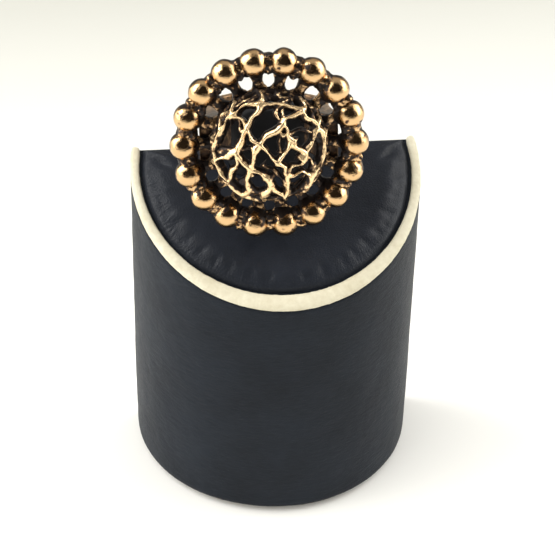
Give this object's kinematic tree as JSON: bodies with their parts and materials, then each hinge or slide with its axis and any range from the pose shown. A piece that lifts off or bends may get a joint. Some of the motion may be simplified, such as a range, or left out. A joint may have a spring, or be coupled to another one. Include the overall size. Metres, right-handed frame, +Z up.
{
  "type": "finger ring on a display stand",
  "caption": "Finger ring with an openwork domed head and a beaded rim, slid onto the leather tab of a half-round display stand with a sloping padded top.",
  "frame": {"origin": "middle of the stand's flat underside, level with the axis of the half-round body, on the surface it stands on", "axes": "+Z up; -Y is the front, the way the sloping top and the ring's head face; X is the stand's width"},
  "size_m": [0.045, 0.0333, 0.0782],
  "materials": {
    "dark_leatherette": "fine-grained matt leatherette, charcoal navy",
    "pale_leatherette": "fine-grained matt leatherette, cream",
    "bronze": "polished bronze, oxidised dark in the recesses",
    "dark_bronze": "oxidised bronze",
    "board": "raw fibreboard",
    "foam": "open-cell foam",
    "felt": "short felt",
    "tab_stiffener": "plain sheet plastic"
  },
  "bodies": {
    "stand": {"felt_foot": "felt", "base_board": "board", "core_block": "board", "body_wrap": "dark_leatherette", "back_panel": "dark_leatherette", "pad_board": "board", "pad_foam": "foam", "pad_cover": "dark_leatherette", "welt": "pale_leatherette", "tab_core": "tab_stiffener", "tab_cover": "dark_leatherette"},
    "ring": {"shank": "bronze", "petal_frame": "dark_bronze", "dome_collar": "dark_bronze", "lace_dome": "bronze", "bead_1": "bronze", "bead_2": "bronze", "bead_3": "bronze", "bead_4": "bronze", "bead_5": "bronze", "bead_6": "bronze", "bead_7": "bronze", "bead_8": "bronze", "bead_9": "bronze", "bead_10": "bronze", "bead_11": "bronze", "bead_12": "bronze", "bead_13": "bronze", "bead_14": "bronze", "bead_15": "bronze", "bead_16": "bronze", "bead_17": "bronze", "bead_18": "bronze"}
  },
  "joints": [
    {"name": "ring_slide", "type": "slide", "parent": "stand", "child": "ring", "axis": [0, 0.2588, 0.9659], "range_m": [0, 0.012]}
  ]
}
